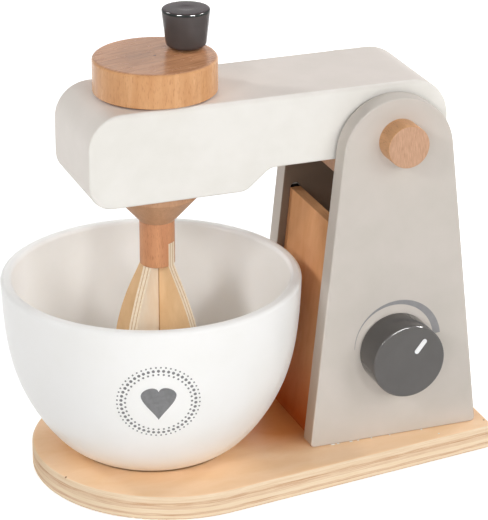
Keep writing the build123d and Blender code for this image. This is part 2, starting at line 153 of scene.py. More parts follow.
def two_tone(tree, noise, start, dark, end, light):
    """Dark where the noise is below start, light where it is above end, and blended between."""
    return add_node(tree, "ValToRGB", {"Fac": noise.outputs["Fac"]},
                    ramp=[(start, srgb(dark)), (end, srgb(light))]).outputs["Color"]


def blend(tree, share, first, second, how="MIX"):
    """Mixes two colours, each a socket or a value, by the share of the second."""
    return add_node(tree, "Mix", {FACTOR: share, COLOUR_A: first, COLOUR_B: second},
                    data_type="RGBA", blend_type=how).outputs[MIXED]


def set_roughness(tree, shader, share, lowest, highest, start=0.0, end=1.0):
    """Spreads the roughness from lowest to highest while the share goes from start to end."""
    spread = add_node(tree, "MapRange", {"Value": share, "From Min": start, "From Max": end,
                                         "To Min": lowest, "To Max": highest})
    tree.links.new(spread.outputs["Result"], shader.inputs["Roughness"])


def set_relief(tree, shader, height, strength, depth, invert=False):
    """Fine relief, depth in millimetres."""
    bump = add_node(tree, "Bump", {"Height": height, "Strength": strength,
                                   "Distance": depth * MM}, invert=invert)
    tree.links.new(bump.outputs["Normal"], shader.inputs["Normal"])


def looks_along(tree, normal, axis, least, full):
    """0 to 1: how far a surface looks along the axis, either way, as a range of the cosine."""
    facing = add_node(tree, "VectorMath", {0: normal, 1: axis}, operation="DOT_PRODUCT")
    size = add_node(tree, "Math", {0: facing.outputs["Value"]}, operation="ABSOLUTE")
    return add_node(tree, "MapRange", {"Value": size.outputs["Value"], "From Min": least,
                                       "From Max": full}).outputs["Result"]


# %% [markdown]
# ## White satin lacquer
#
# The arm and the bowl are sprayed with a white nitro lacquer. It is nearly even, with a soft
# sheen. Close up it shows a very faint orange peel about a millimetre wide, and where the wood
# below takes it up unevenly the sheen changes a little over a centimetre or two.

# %% White lacquer for the arm and the bowl


def sprayed_lacquer(name, thin, thick, sheen_low, sheen_high, cloud, peel, peel_height, ior=1.48):
    """Sprayed lacquer: colour where it is thin and thick, sheen range, cloud and peel in mm."""
    material, tree, shader, place, _ = start_finish(name, {"IOR": ior})
    clouds = add_node(tree, "TexNoise", {"Vector": place, "Scale": 1 / cloud, "Detail": 3.0,
                                         "Roughness": 0.55})
    tree.links.new(two_tone(tree, clouds, 0.35, thin, 0.65, thick), shader.inputs["Base Color"])
    set_roughness(tree, shader, clouds.outputs["Fac"], sheen_low, sheen_high, 0.3, 0.7)
    orange_peel = add_node(tree, "TexNoise", {"Vector": place, "Scale": 1 / peel, "Detail": 2.0})
    set_relief(tree, shader, orange_peel.outputs["Fac"], 1.0, peel_height)
    return material


arm_lacquer = sprayed_lacquer("white satin lacquer on the arm", "#ECE9E2", "#F1EEE8",
                              0.42, 0.52, cloud=18, peel=1.4, peel_height=0.012)
bowl_lacquer = sprayed_lacquer("white satin lacquer on the bowl", "#F9F8F5", "#FCFBF9",
                               0.34, 0.42, cloud=22, peel=1.8, peel_height=0.010)
print("lacquers:", arm_lacquer.name, "|", bowl_lacquer.name)

# %% [markdown]
# ## Warm grey matt lacquer
#
# The side panels have a flat matt paint with less sheen. It is slightly mottled, because the
# panel's grain drinks the paint unevenly.

# %% Grey lacquer for the side panels
panel_lacquer = sprayed_lacquer("warm grey matt lacquer", "#CEC7BE", "#D3CBC3",
                                0.58, 0.68, cloud=20, peel=0.9, peel_height=0.014)

# %% [markdown]
# ## Dark gloss lacquer
#
# The dial and the crank's knob are dipped in dark grey gloss. Dipping leaves a smooth coat that
# waves a little, so lamps show in it as short bright dashes along the rounded edges. The knob
# got one dip more than the dial and is darker.

# %% Dark gloss for the dial and the knob
dial_gloss = sprayed_lacquer("dark grey gloss lacquer on the dial", "#615E5C", "#64615F",
                             0.08, 0.11, cloud=9, peel=3.5, peel_height=0.008, ior=1.38)
knob_gloss = sprayed_lacquer("dark grey gloss lacquer on the knob", "#534E4D", "#585251",
                             0.06, 0.09, cloud=9, peel=3.5, peel_height=0.005, ior=1.22)

# %% [markdown]
# ## Turned beech
#
# Beech is known by its flecks: short dark dashes along the grain, two or three millimetres long
# and a few tenths wide. Round pieces also show soft lighter and darker bands. On a face that is
# cut across the piece's length the grain runs the other way, so the finish looks at the surface's
# direction to choose between the two.

# %% Beech
GRAIN_STRETCH = 0.88  # how much of the pattern's scale is taken off along the grain


def turned_beech(name, axis, light, dark, fleck, face_light, face_dark, face_turn, sheen,
                 ior=1.4):
    """Beech turned round an axis. face_turn is the way the grain runs on the end faces."""
    material, tree, shader, place, normal = start_finish(name, {"IOR": ior})
    along = Vector(axis)
    stretch = Vector((1, 1, 1)) - GRAIN_STRETCH * along

    side_place = add_node(tree, "Mapping", {"Vector": place, "Scale": stretch})
    bands = add_node(tree, "TexNoise", {"Vector": side_place.outputs["Vector"], "Scale": 0.22,
                                        "Detail": 4.0, "Roughness": 0.6})
    side = two_tone(tree, bands, 0.36, dark, 0.64, light)
    dashes = add_node(tree, "TexNoise", {"Vector": side_place.outputs["Vector"], "Scale": 3.0,
                                         "Detail": 1.0})
    dash_mask = add_node(tree, "ValToRGB", {"Fac": dashes.outputs["Fac"]},
                         ramp=[(0.57, BLACK), (0.71, (0.6, 0.6, 0.6, 1))])
    side_flecked = blend(tree, dash_mask.outputs["Color"], side, srgb(fleck))

    face_place = add_node(tree, "Mapping", {"Vector": place, "Rotation": face_turn[0],
                                            "Scale": face_turn[1]}, vector_type="TEXTURE")
    lines = add_node(tree, "TexNoise", {"Vector": face_place.outputs["Vector"], "Scale": 1.0,
                                        "Detail": 5.0, "Roughness": 0.65})
    face = two_tone(tree, lines, 0.34, face_dark, 0.66, face_light)

    is_face = looks_along(tree, normal, along, 0.70, 0.92)
    tree.links.new(blend(tree, is_face, side_flecked, face), shader.inputs["Base Color"])
    set_roughness(tree, shader, bands.outputs["Fac"], sheen - 0.05, sheen + 0.06, 0.3, 0.7)
    pores = blend(tree, is_face, dash_mask.outputs["Color"], BLACK)
    set_relief(tree, shader, pores, 0.5, 0.004, invert=True)
    return material


DISC_GRAIN = ((0, 0, radians(16)), (16, 0.8, 1))
UPRIGHT_GRAIN = ((0, 0, 0), (0.3, 1, 4))
disc_beech = turned_beech("varnished beech of the disc", (0, 0, 1), "#E0AA78", "#D39965",
                          "#B87847", "#D49D74", "#AC7550", DISC_GRAIN, sheen=0.24, ior=1.42)
cap_beech = turned_beech("sanded beech of the axle's ends", (0, 1, 0), "#DCA87A", "#CB986B",
                         "#A77954", "#D8AD8F", "#BA8F70", UPRIGHT_GRAIN, sheen=0.42)
shaft_beech = turned_beech("sanded beech of the beater's shaft", (0, 0, 1), "#DC9F74", "#CE9068",
                           "#B4764F", "#C68A63", "#B97C56", DISC_GRAIN, sheen=0.40)
cone_beech = turned_beech("sanded beech of the beater's cone", (0, 0, 1), "#D8A985", "#CA9A76",
                          "#B48260", "#D2A27E", "#C49270", DISC_GRAIN, sheen=0.40)
plain_beech = turned_beech("sanded beech", (0, 0, 1), "#D8A880", "#C9976F", "#A67650",
                           "#D2A27B", "#BE8C66", DISC_GRAIN, sheen=0.42)

# %% [markdown]
# ## Birch plywood
#
# Plywood is a stack of veneers whose grain turns by a quarter from sheet to sheet. On its edge
# the sheets that run along the edge look cream with long fine lines, and the sheets between them
# show end grain, which is darker and streaky. The finish measures how deep a point lies in the
# stack to know which sheet it is in, and it bends the sheets a little, because real ones are
# never quite even. A face that looks out of the stack gets the face veneer instead.

# %% Plywood
SHEET_WAVE = 0.045  # how far the sheets bend, and how soft their joints are, as shares of the stack
SHEET_BLUR = 0.012


def birch_ply(name, across, start, sheets, face_light, face_dark, grain,
              cream=("#FBE6CA", "#F3D8B4"), tan=("#EDCDA8", "#C2885F"), sheen=0.34, ior=1.38):
    """across runs through the stack, start is where it begins, and each sheet is its thickness
    and how tan it is, from 0 to 1. Distances are in mm."""
    material, tree, shader, place, normal = start_finish(name, {"IOR": ior})
    across = Vector(across).normalized()
    thickness = sum(t for t, _ in sheets)

    depth = add_node(tree, "VectorMath", {0: place, 1: across}, operation="DOT_PRODUCT")
    waves = add_node(tree, "TexNoise", {"Vector": place, "Scale": 0.06, "Detail": 2.0})
    bend = add_node(tree, "MapRange", {"Value": waves.outputs["Fac"],
                                       "To Min": -SHEET_WAVE * thickness,
                                       "To Max": SHEET_WAVE * thickness})
    bent = add_node(tree, "Math", {0: depth.outputs["Value"], 1: bend.outputs["Result"]},
                    operation="ADD")
    share = add_node(tree, "MapRange", {"Value": bent.outputs["Value"], "From Min": start,
                                        "From Max": start + thickness})
    stops, reached = [], 0.0
    for t, is_tan in sheets:
        colour = (is_tan, is_tan, is_tan, 1)
        stops += [(min(1, reached / thickness + SHEET_BLUR), colour),
                  (max(0, (reached + t) / thickness - SHEET_BLUR), colour)]
        reached += t
    sheet = add_node(tree, "ValToRGB", {"Fac": share.outputs["Result"]}, ramp=stops)

    squeeze = [0.06 + 3.0 * abs(c) for c in across]
    streak_place = add_node(tree, "Mapping", {"Vector": place, "Scale": squeeze})
    streaks = add_node(tree, "TexNoise", {"Vector": streak_place.outputs["Vector"], "Scale": 1.0,
                                          "Detail": 4.0, "Roughness": 0.68})
    cream_wood = two_tone(tree, streaks, 0.34, cream[1], 0.62, cream[0])
    tan_wood = two_tone(tree, streaks, 0.36, tan[1], 0.58, tan[0])
    edge = blend(tree, sheet.outputs["Color"], cream_wood, tan_wood)

    grain_place = add_node(tree, "Mapping", {"Vector": place, "Rotation": grain[0],
                                             "Scale": grain[1]}, vector_type="TEXTURE")
    figure = add_node(tree, "TexNoise", {"Vector": grain_place.outputs["Vector"], "Scale": 0.16,
                                         "Detail": 6.0, "Roughness": 0.62, "Distortion": 0.4})
    face = two_tone(tree, figure, 0.32, face_dark, 0.68, face_light)

    is_face = looks_along(tree, normal, across, 0.80, 0.93)
    tree.links.new(blend(tree, is_face, edge, face), shader.inputs["Base Color"])
    set_roughness(tree, shader, is_face, 0.55, sheen)
    set_relief(tree, shader, streaks.outputs["Fac"], 0.5, 0.05)
    return material


LENGTHWISE = ((0, 0, 0), (3.5, 1.4, 1))
UPRIGHT = ((0, 0, 0), (1, 1, 3))
board_ply = birch_ply("varnished birch ply of the board", (0, 0, 1), 0.0,
                      [(1.0, 0.4), (1.3, 0.0), (1.3, 0.7), (2.0, 0.0), (1.8, 0.45), (1.6, 0.8),
                       (3.0, 0.15)], "#FEDAB5", "#F8D0A3", LENGTHWISE)
thin_ply = {}
for panel in ("front_panel", "rear_panel"):
    low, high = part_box(panel)
    thin_ply[panel] = birch_ply("birch ply of the " + panel, (1, 0, 0), low.x / MM,
                                [(1.1, 0), (0.4, 1), (0.7, 0), (0.4, 1), (0.7, 0),
                                 (0.4, 1), (1.3, 0)], "#E1A97C", "#D79D6C", UPRIGHT,
                                cream=("#C99A70", "#B88860"), tan=("#71492C", "#553520"),
                                sheen=0.6, ior=1.12)

crank_low, crank_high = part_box("crank_disc")
CRANK_X = (crank_low.x + crank_high.x) / 2
# Painted light: the blades are the same ply, but the plain blade's faces are coloured paler, for the
# stronger light on them.
BLADES = {"beater_blade_tongued": (-54.8, "#F3CEA1", "#E8C090"),
          "beater_blade_plain": (35.2, "#FCEEDA", "#F6E2C8")}
BLADE_THICKNESS = 4.4
blade_ply = {}
for blade, (angle, face_light, face_dark) in BLADES.items():
    across = (sin(radians(angle)), -cos(radians(angle)), 0)
    middle = CRANK_X / MM * across[0]
    blade_ply[blade] = birch_ply("birch ply of " + blade, across, middle - BLADE_THICKNESS / 2,
                                 [(1.0, 0), (0.55, 1), (1.3, 0), (0.55, 1), (1.0, 0)],
                                 face_light, face_dark, UPRIGHT, cream=("#FBEDD8", "#F0DABB"),
                                 tan=("#E2C6A2", "#CCA680"))
print("plywoods:", board_ply.name, sorted(thin_ply), sorted(blade_ply))

# %% [markdown]
# ## Colours that change with the place
#
# A few marks sit at one spot. The lathe leaves a tiny dark centre mark on the disc, the blades
# have a dark line where they cross, and the board has two small knots. A spot on the board's
# round end, behind the bowl, is a little browner. The rest is painted light. Painted shade turns
# the side panels' inner faces a dark brown grey inside the tower, and makes the thin panels near
# black where they enter the grooves. Painted shade makes the front panel a deeper orange brown
# towards the board, and the board beside it between the bowl and the tower, and browns the
# painted panels' edges at the foot. Painted shade warms and darkens the arm's ends and top
# against its sides. The dial's side is darker with painted shade, and the knob's rim and top
# carry a painted dark reflection. One helper blends a colour into a finish, either along an axis
# or round an upright line, and where asked only on faces that don't look along an axis.

# %% Marks and stains


def tint(material, centre, start, full, colour, how="MIX", off=None):
    """centre is the name of an axis, or the x and y of an upright line. Distances are in mm."""
    tree = material.node_tree
    shader = next(node for node in tree.nodes if node.type == "BSDF_PRINCIPLED")
    before = shader.inputs["Base Color"].links[0].from_socket
    where = add_node(tree, "TexCoord")
    place = where.outputs["Object"]
    if isinstance(centre, str):
        parts = add_node(tree, "SeparateXYZ", {"Vector": place})
        away = add_node(tree, "Math", {0: parts.outputs[centre]}, operation="ABSOLUTE")
    else:
        offset = add_node(tree, "VectorMath", {0: place, 1: (centre[0] * MM, centre[1] * MM, 0)},
                          operation="SUBTRACT")
        level = add_node(tree, "VectorMath", {0: offset.outputs["Vector"], 1: (1, 1, 0)},
                         operation="MULTIPLY")
        away = add_node(tree, "VectorMath", {0: level.outputs["Vector"]}, operation="LENGTH")
    share = add_node(tree, "MapRange", {"Value": away.outputs["Value"], "From Min": start * MM,
                                        "From Max": full * MM}).outputs["Result"]
    if off:
        facing = add_node(tree, "SeparateXYZ", {"Vector": where.outputs["Normal"]})
        size = add_node(tree, "Math", {0: facing.outputs[off]}, operation="ABSOLUTE")
        edge = add_node(tree, "MapRange", {"Value": size.outputs["Value"], "From Min": 0.8,
                                           "From Max": 0.4})
        share = add_node(tree, "Math", {0: share, 1: edge.outputs["Result"]},
                         operation="MULTIPLY").outputs["Value"]
    after = blend(tree, share, before, srgb(colour), how)
    tree.links.new(after, shader.inputs["Base Color"])


tint(disc_beech, (CRANK_X / MM, 0), 0.85, 0.45, "#5A3C2C")
for ply in blade_ply.values():
    tint(ply, (CRANK_X / MM, 0), 3.5, 3.2, "#BC9268")
# Painted shade: the arm's ends and top are warmed and darkened against its brighter sides.
tint(arm_lacquer, "Z", 0, 1, "#FCF7F5", how="MULTIPLY", off="Y")
# Painted shade: the arm's top is made a shade greyer.
tint(arm_lacquer, "Z", 183, 185.4, "#F7F5F5", how="MULTIPLY")
# Painted shade: the grey panels' edges are browner and darker towards the board.
tint(panel_lacquer, "Z", 90, 15, "#DAC6B5", how="MULTIPLY", off="Y")
# Painted shade: the grey panels' inner faces are a dark brown grey inside the tower.
tint(panel_lacquer, "Y", 28.5, 28.2, "#7C6B5C")
# Painted shade: the front panel is a deeper orange brown towards the board, behind the bowl.
tint(thin_ply["front_panel"], "Z", 52, 16, "#D7965F", how="MULTIPLY")
# Painted shade: the dial's side is darker than its face.
tint(dial_gloss, "Y", 54.9, 54.4, "#E0E0E0", how="MULTIPLY")
# Painted reflection: a dark band on the knob's rounded top edge, and a darker, redder top.
tint(knob_gloss, "Z", 219.6, 219.9, "#2F3432")
tint(knob_gloss, "Z", 220.8, 220.88, "#3A2D2F")
# Painted shade: the thin panels are near black where they enter the grooves.
for ply in thin_ply.values():
    tint(ply, "Y", 28.0, 28.1, "#1C130D")
# Painted shade: the board is a deeper orange brown between the bowl and the tower.
tint(board_ply, (20, -2), 40, 18, "#DAAA79", how="MULTIPLY")
tint(board_ply, (-88, 8), 30, 8, "#E7DDCF", how="MULTIPLY")
for knot in ((111.5, -39), (-95, -25.5)):
    tint(board_ply, knot, 0.6, 0.3, "#8A5B3E")

# %% [markdown]
# ## Small parts
#
# The washers are plain moulded nylon, slightly waxy. The screws are steel with a thin bright zinc
# plating. The dial's mark is white paint, and the prints are a flat grey ink.

# %% Nylon, zinc, paint and ink
nylon = sprayed_lacquer("moulded nylon", "#D0CAC0", "#D9D4CB", 0.40, 0.50, cloud=4, peel=0.6,
                        peel_height=0.01)
mark_paint = sprayed_lacquer("white marking paint", "#F4F4F4", "#FAFAFA", 0.35, 0.45, cloud=2,
                             peel=0.5, peel_height=0.01)
print_ink = sprayed_lacquer("grey print ink on the bowl", "#777778", "#838384", 0.45, 0.55,
                            cloud=2.5, peel=0.4, peel_height=0.006)
scale_ink = sprayed_lacquer("blue grey print ink on the panel", "#918F91", "#979696", 0.5, 0.6,
                            cloud=3, peel=0.4, peel_height=0.006)
glue = sprayed_lacquer("dried wood glue", "#F8F4EC", "#FDFBF6", 0.30, 0.40, cloud=1, peel=0.5,
                       peel_height=0.02)
zinc, zinc_tree, zinc_shader, zinc_place, _ = start_finish("zinc-plated steel", {"Metallic": 1.0})
zinc_noise = add_node(zinc_tree, "TexNoise", {"Vector": zinc_place, "Scale": 1.2, "Detail": 3.0})
zinc_tree.links.new(two_tone(zinc_tree, zinc_noise, 0.3, "#B9BBBE", 0.7, "#D2D3D4"),
                    zinc_shader.inputs["Base Color"])
set_roughness(zinc_tree, zinc_shader, zinc_noise.outputs["Fac"], 0.25, 0.45)

# %% [markdown]
# ## Which finish goes on which piece
#
# The CAD pieces come with one plain material each. Their shapes are right, so they stay, and
# each one's material slot gets the finish of the real piece.

# %% Finish the CAD pieces
finishes = {
    "base_board": board_ply, "base_screws": zinc, "bowl": bowl_lacquer,
    "side_panel_dial": panel_lacquer, "side_panel_far": panel_lacquer,
    "front_panel": thin_ply["front_panel"], "rear_panel": thin_ply["rear_panel"],
    "stop_bar": plain_beech, "stop_bar_pins": plain_beech,
    "axle": cap_beech, "axle_caps": cap_beech, "axle_washers": nylon,
    "arm": arm_lacquer, "crank_disc": disc_beech, "crank_upper_washer": nylon,
    "crank_lower_washer": nylon, "crank_shaft": plain_beech, "crank_knob": knob_gloss,
    "crank_knob_screw": zinc, "crank_knob_washer": nylon, "beater_cone": cone_beech,
    "beater_shaft": shaft_beech, "beater_blade_tongued": blade_ply["beater_blade_tongued"],
    "beater_blade_plain": blade_ply["beater_blade_plain"], "dial_knob": dial_gloss,
    "dial_index": mark_paint, "dial_shaft": cap_beech, "dial_collar": cap_beech,
}
for name, finish in finishes.items():
    nodes[name].material_slots[0].material = finish
print("finished", len(finishes), "of", len(nodes))

# %% [markdown]
# ## Turning a piece on a lathe
#
# The knob, the dial and the axle's round ends are turned. On a lathe, the wood spins and a chisel
# follows the piece's outline. In Blender it is the other way round: the outline is drawn by
# extruding one vertex from point to point, and Spin takes it once round the axis. The first and
# the last point lie on the axis, so the piece is closed. Its edges are then rounded with Bevel, as
# sandpaper does. What repeats is modelled once and copied, and the copies are joined.

# %% Pick by place, turn, copy and join
TOLERANCE = 0.01 * MM
LATHE_STEPS = 120
BEVEL_SEGMENTS = 7
SMOOTH_BELOW = radians(30)
UP, FORWARD = (0, 0, 1), (0, -1, 0)


def pick(piece, kind, test):
    """In edit mode, selects the vertices, edges or faces of the piece that pass the test."""
    bpy.ops.mesh.select_mode(type=kind)
    bpy.ops.mesh.select_all(action="DESELECT")
    mesh = bmesh.from_edit_mesh(piece.data)
    parts = {"VERT": mesh.verts, "EDGE": mesh.edges, "FACE": mesh.faces}[kind]
    for part in parts:
        if test(part):
            part.select_set(True)
    mesh.select_flush_mode()
    bmesh.update_edit_mesh(piece.data)


def turn(name, outline, foot, axis):
    """The outline's points are (radius, height) in millimetres, and height grows along the axis."""
    foot, axis = Vector(foot), Vector(axis)
    sideways = axis.orthogonal().normalized()
    points = [foot + sideways * r * MM + axis * h * MM for r, h in outline]
    bpy.ops.object.select_all(action="DESELECT")
    bpy.ops.mesh.primitive_plane_add(size=MM, location=points[0])
    piece = bpy.context.object
    piece.name = name
    bpy.ops.object.mode_set(mode="EDIT")
    bpy.ops.mesh.select_mode(type="VERT")
    bpy.ops.mesh.select_all(action="SELECT")
    bpy.ops.mesh.merge(type="CENTER")
    for here, there in zip(points, points[1:]):
        bpy.ops.mesh.extrude_vertices_move(TRANSFORM_OT_translate={"value": there - here})
    bpy.ops.mesh.select_all(action="SELECT")
    bpy.ops.mesh.spin(steps=LATHE_STEPS, angle=2 * pi, center=foot, axis=axis)
    bpy.ops.mesh.select_all(action="SELECT")
    bpy.ops.mesh.remove_doubles(threshold=0.002 * MM)
    bpy.ops.mesh.normals_make_consistent(inside=False)
    bpy.ops.object.mode_set(mode="OBJECT")
    bpy.ops.object.transform_apply(location=True, rotation=True, scale=True)
    return piece


def round_ring(piece, foot, axis, radius, height, offset):
    """Bevels the ring of edges at this radius and height, all in millimetres."""
    foot, axis = Vector(foot), Vector(axis)

    def on_ring(edge):
        for vert in edge.verts:
            up = (vert.co - foot).dot(axis)
            out = (vert.co - foot - axis * up).length
            if abs(up - height * MM) > TOLERANCE or abs(out - radius * MM) > TOLERANCE:
                return False
        return True

    bpy.ops.object.mode_set(mode="EDIT")
    pick(piece, "EDGE", on_ring)
    bpy.ops.mesh.bevel(offset=offset * MM, segments=BEVEL_SEGMENTS, affect="EDGES")
    bpy.ops.object.mode_set(mode="OBJECT")


def select(active, *others):
    """Selects just these objects, and makes the first one active."""
    bpy.ops.object.select_all(action="DESELECT")
    for piece in (active, *others):
        piece.select_set(True)
    bpy.context.view_layer.objects.active = active


def smooth(piece):
    select(piece)
    bpy.ops.object.shade_smooth_by_angle(angle=SMOOTH_BELOW)


def copy_of(piece):
    """A copy that has a mesh of its own."""
    copy = piece.copy()
    copy.data = piece.data.copy()
    bpy.context.scene.collection.objects.link(copy)
    return copy


def join(into, *others):
    select(into, *others)
    bpy.ops.object.join()


# %% [markdown]
# ## The crank's knob
#
# The knob is a little wider at the top, so that fingers hold it well. Its top edge is eased, its
# lower edge is rounder, and the top has a shallow hollow that the lathe's centre left. Below it
# has the bore for the screw that it turns on.

# %% Turn the knob
knob_low, knob_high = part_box("crank_knob")
knob_foot = ((knob_low.x + knob_high.x) / 2, (knob_low.y + knob_high.y) / 2, knob_low.z)
TOP_R, BOTTOM_R, KNOB_HEIGHT = 11.2, 9.25, 18.0
TOP_BEVEL, BOTTOM_BEVEL = 1.1, 2.2
SCREW_R, SCREW_DEPTH = 1.8, 11
HOLLOW = [(4.8, 18.0), (4.0, 17.97), (3.1, 17.90), (2.1, 17.83), (1.0, 17.79), (0, 17.78)]
knob = turn("crank_knob_dipped",
            [(0, SCREW_DEPTH), (SCREW_R, SCREW_DEPTH), (SCREW_R, 0), (BOTTOM_R, 0),
             (TOP_R, KNOB_HEIGHT)] + HOLLOW, knob_foot, UP)
round_ring(knob, knob_foot, UP, TOP_R, KNOB_HEIGHT, TOP_BEVEL)
round_ring(knob, knob_foot, UP, BOTTOM_R, 0, BOTTOM_BEVEL)
smooth(knob)
knob.data.materials.append(knob_gloss)
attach(knob, "crank_grip")
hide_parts("crank_knob")
print("knob:", len(knob.data.polygons), "faces,", [round(d / MM, 1) for d in knob.dimensions])

# %% [markdown]
# ## The dial
#
# The dial is a plain thick disc on the tower's side. It is turned round an axis that points out
# of that side. Its front edge is rounded, and its back has the bore for the shaft. Two extra
# circles on its front keep the faces there from becoming long thin wedges.

# %% Turn the dial
dial_low, dial_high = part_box("dial_knob")
dial_foot = ((dial_low.x + dial_high.x) / 2, dial_high.y, (dial_low.z + dial_high.z) / 2)
DIAL_R, DIAL_THICKNESS = 17.9, 16.8
BACK_EDGE, FRONT_BEVEL = 0.4, 0.85
SHAFT_R, SHAFT_DEPTH = 5, 11
dial = turn("dial_knob_dipped",
            [(0, SHAFT_DEPTH), (SHAFT_R, SHAFT_DEPTH), (SHAFT_R, 0), (DIAL_R - BACK_EDGE, 0),
             (DIAL_R, BACK_EDGE), (DIAL_R, DIAL_THICKNESS)]
            + [(radius, DIAL_THICKNESS) for radius in (12, 6, 0)], dial_foot, FORWARD)
round_ring(dial, dial_foot, FORWARD, DIAL_R, DIAL_THICKNESS, FRONT_BEVEL)
smooth(dial)
dial.data.materials.append(dial_gloss)
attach(dial, "dial")
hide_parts("dial_knob")
print("dial:", len(dial.data.polygons), "faces,", [round(d / MM, 1) for d in dial.dimensions])

# %% [markdown]
# ## The axle's round ends
#
# On each side of the tower the axle ends in a short piece of thick dowel. It has a blind bore for
# the axle, and sandpaper has taken the sharpness off its outer edge. One is turned, and the one on
# the far side is its copy, taken half a turn round the tower's upright middle line.

# %% Turn the caps
caps_low, caps_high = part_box("axle_caps")
axle_low, axle_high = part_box("axle")
CAP_R = (caps_high.x - caps_low.x) / 2 / MM
CAP_LENGTH, CAP_BORE, CAP_BEVEL = 11.2, 8.0, 0.45
AXLE_R = (axle_high.x - axle_low.x) / 2 / MM
cap_foot = ((caps_low.x + caps_high.x) / 2, caps_low.y + CAP_LENGTH * MM,
            (caps_low.z + caps_high.z) / 2)
cap = turn("axle_caps_turned",
           [(0, CAP_BORE), (AXLE_R, CAP_BORE), (AXLE_R, 0), (CAP_R, 0), (CAP_R, CAP_LENGTH),
            (CAP_R / 2, CAP_LENGTH), (0, CAP_LENGTH)], cap_foot, FORWARD)
round_ring(cap, cap_foot, FORWARD, CAP_R, CAP_LENGTH, CAP_BEVEL)
far_cap = copy_of(cap)
far_cap.matrix_world = Matrix.Translation((2 * cap_foot[0], 0, 0)) @ Matrix.Rotation(pi, 4, "Z")
join(cap, far_cap)
bpy.ops.object.transform_apply(location=True, rotation=True, scale=True)
smooth(cap)
cap.data.materials.append(cap_beech)
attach(cap, "stand")
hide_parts("axle_caps")
print("caps:", len(cap.data.polygons), "faces,", [round(d / MM, 1) for d in cap.dimensions])

# %% [markdown]
# ## The printed scale
#
# Round the dial runs a printed arc that starts as a hair and grows to a broad band, so that a
# child sees "slow" and "fast". It is the space between two circles whose middles are a little
# apart. One arc is cut from a circle, its copy is shrunk and moved, and Bridge fills the space.

# %% Print the scale
SCALE_MIDDLE = Vector((65.4, -38.004, 59.7)) * MM
OUTER_R, INNER_R, SHIFT = 21.9, 19.95, 1.75
SCALE_POINTS, SCALE_END = 180, radians(6)
bpy.ops.object.select_all(action="DESELECT")
bpy.ops.mesh.primitive_circle_add(vertices=SCALE_POINTS, radius=OUTER_R * MM, fill_type="NOTHING",
                                  location=SCALE_MIDDLE, rotation=(pi / 2, 0, 0))
scale = bpy.context.object
scale.name = "dial_scale_print"
bpy.ops.object.transform_apply(location=True, rotation=True, scale=True)
bpy.ops.object.mode_set(mode="EDIT")
END_Z = SCALE_MIDDLE.z + OUTER_R * MM * sin(SCALE_END)
pick(scale, "VERT", lambda vert: vert.co.z < (SCALE_MIDDLE.z if vert.co.x < SCALE_MIDDLE.x
                                              else END_Z) - TOLERANCE)
bpy.ops.mesh.delete(type="VERT")
bpy.ops.mesh.select_all(action="SELECT")
bpy.ops.mesh.duplicate()
shrink = INNER_R / OUTER_R
bpy.ops.transform.resize(value=(shrink, 1, shrink), center_override=SCALE_MIDDLE)
bpy.ops.transform.translate(value=(-SHIFT * MM, 0, 0))
bpy.ops.mesh.select_all(action="SELECT")
bpy.ops.mesh.bridge_edge_loops()
bpy.ops.mesh.select_all(action="SELECT")
bpy.ops.mesh.normals_make_consistent(inside=False)
bpy.ops.object.mode_set(mode="OBJECT")
PRINT_THICKNESS, INK_GAP = 0.04 * MM, 0.01 * MM


def thicken_print(piece, offset):
    """Gives a flat print its film of ink."""
    film = piece.modifiers.new("film", "SOLIDIFY")
    film.thickness = PRINT_THICKNESS
    film.offset = offset
    bpy.context.view_layer.objects.active = piece
    bpy.ops.object.modifier_apply(modifier="film")


faces_viewer = scale.data.polygons[0].normal.y < 0
thicken_print(scale, 1 if faces_viewer else -1)
scale.data.materials.append(scale_ink)
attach(scale, "stand")
print("scale print:", len(scale.data.polygons), "faces")

# %% [markdown]
# ## The print on the bowl
#
# The bowl has a small grey print: a plain heart in three neat rings of dots. The heart starts as
# a Bezier circle, whose four points are its notch, its tip and its two sides. The dots are one
# small disc, copied round the rings. Everything is drawn flat in front of the bowl and then
# pressed onto it with Shrinkwrap.

# %% Draw the heart
bpy.ops.object.select_all(action="DESELECT")
bpy.ops.curve.primitive_bezier_circle_add(radius=8 * MM)
heart = bpy.context.object
heart.name = "bowl_print"
heart.data.dimensions = "2D"
heart.data.fill_mode = "FRONT"
heart.data.resolution_u = 16
heart_points = {  # x and y in millimetres: the point, the handle before it and the one after it
    0: ((-8.0, 4.0), (-8.0, 0.2), (-8.0, 7.4)),
    1: ((0, 5.9), (-1.0, 10.0), (1.0, 10.0)),
    2: ((8.0, 4.0), (8.0, 7.4), (8.0, 0.2)),
    3: ((0, -9.2), (2.4, -4.6), (-2.4, -4.6)),
}
for index, (point, before, after) in heart_points.items():
    bezier = heart.data.splines[0].bezier_points[index]
    bezier.handle_left_type = bezier.handle_right_type = "FREE"
    bezier.co = Vector((*point, 0)) * MM
    bezier.handle_left = Vector((*before, 0)) * MM
    bezier.handle_right = Vector((*after, 0)) * MM
bpy.ops.object.convert(target="MESH")
bpy.ops.object.mode_set(mode="EDIT")
bpy.ops.mesh.select_mode(type="FACE")
bpy.ops.mesh.select_all(action="SELECT")
bpy.ops.mesh.remove_doubles(threshold=0.001 * MM)
bpy.ops.mesh.subdivide(number_cuts=5)
bpy.ops.object.mode_set(mode="OBJECT")
print("heart:", len(heart.data.polygons), "faces,", [round(d / MM, 1) for d in heart.dimensions])

# %% Copy the dot round three rings
DOT_RINGS = [  # ring radius, number of dots, dot radius, and the first dot's place in steps
    (15.0, 40, 0.50, 0), (16.8, 46, 0.72, 0.5), (18.6, 52, 0.42, 0.5),
]
bpy.ops.mesh.primitive_circle_add(vertices=16, radius=MM, fill_type="NGON")
dot = bpy.context.object
dots = []
for ring_r, count, dot_r, first in DOT_RINGS:
    for step in range(count):
        angle = 2 * pi * (step + first) / count
        copy = copy_of(dot)
        copy.location = (ring_r * MM * cos(angle), ring_r * MM * sin(angle), 0)
        copy.scale = (dot_r, dot_r, 1)
        dots.append(copy)
bpy.data.objects.remove(dot)
join(heart, *dots)
print("dots:", len(dots))

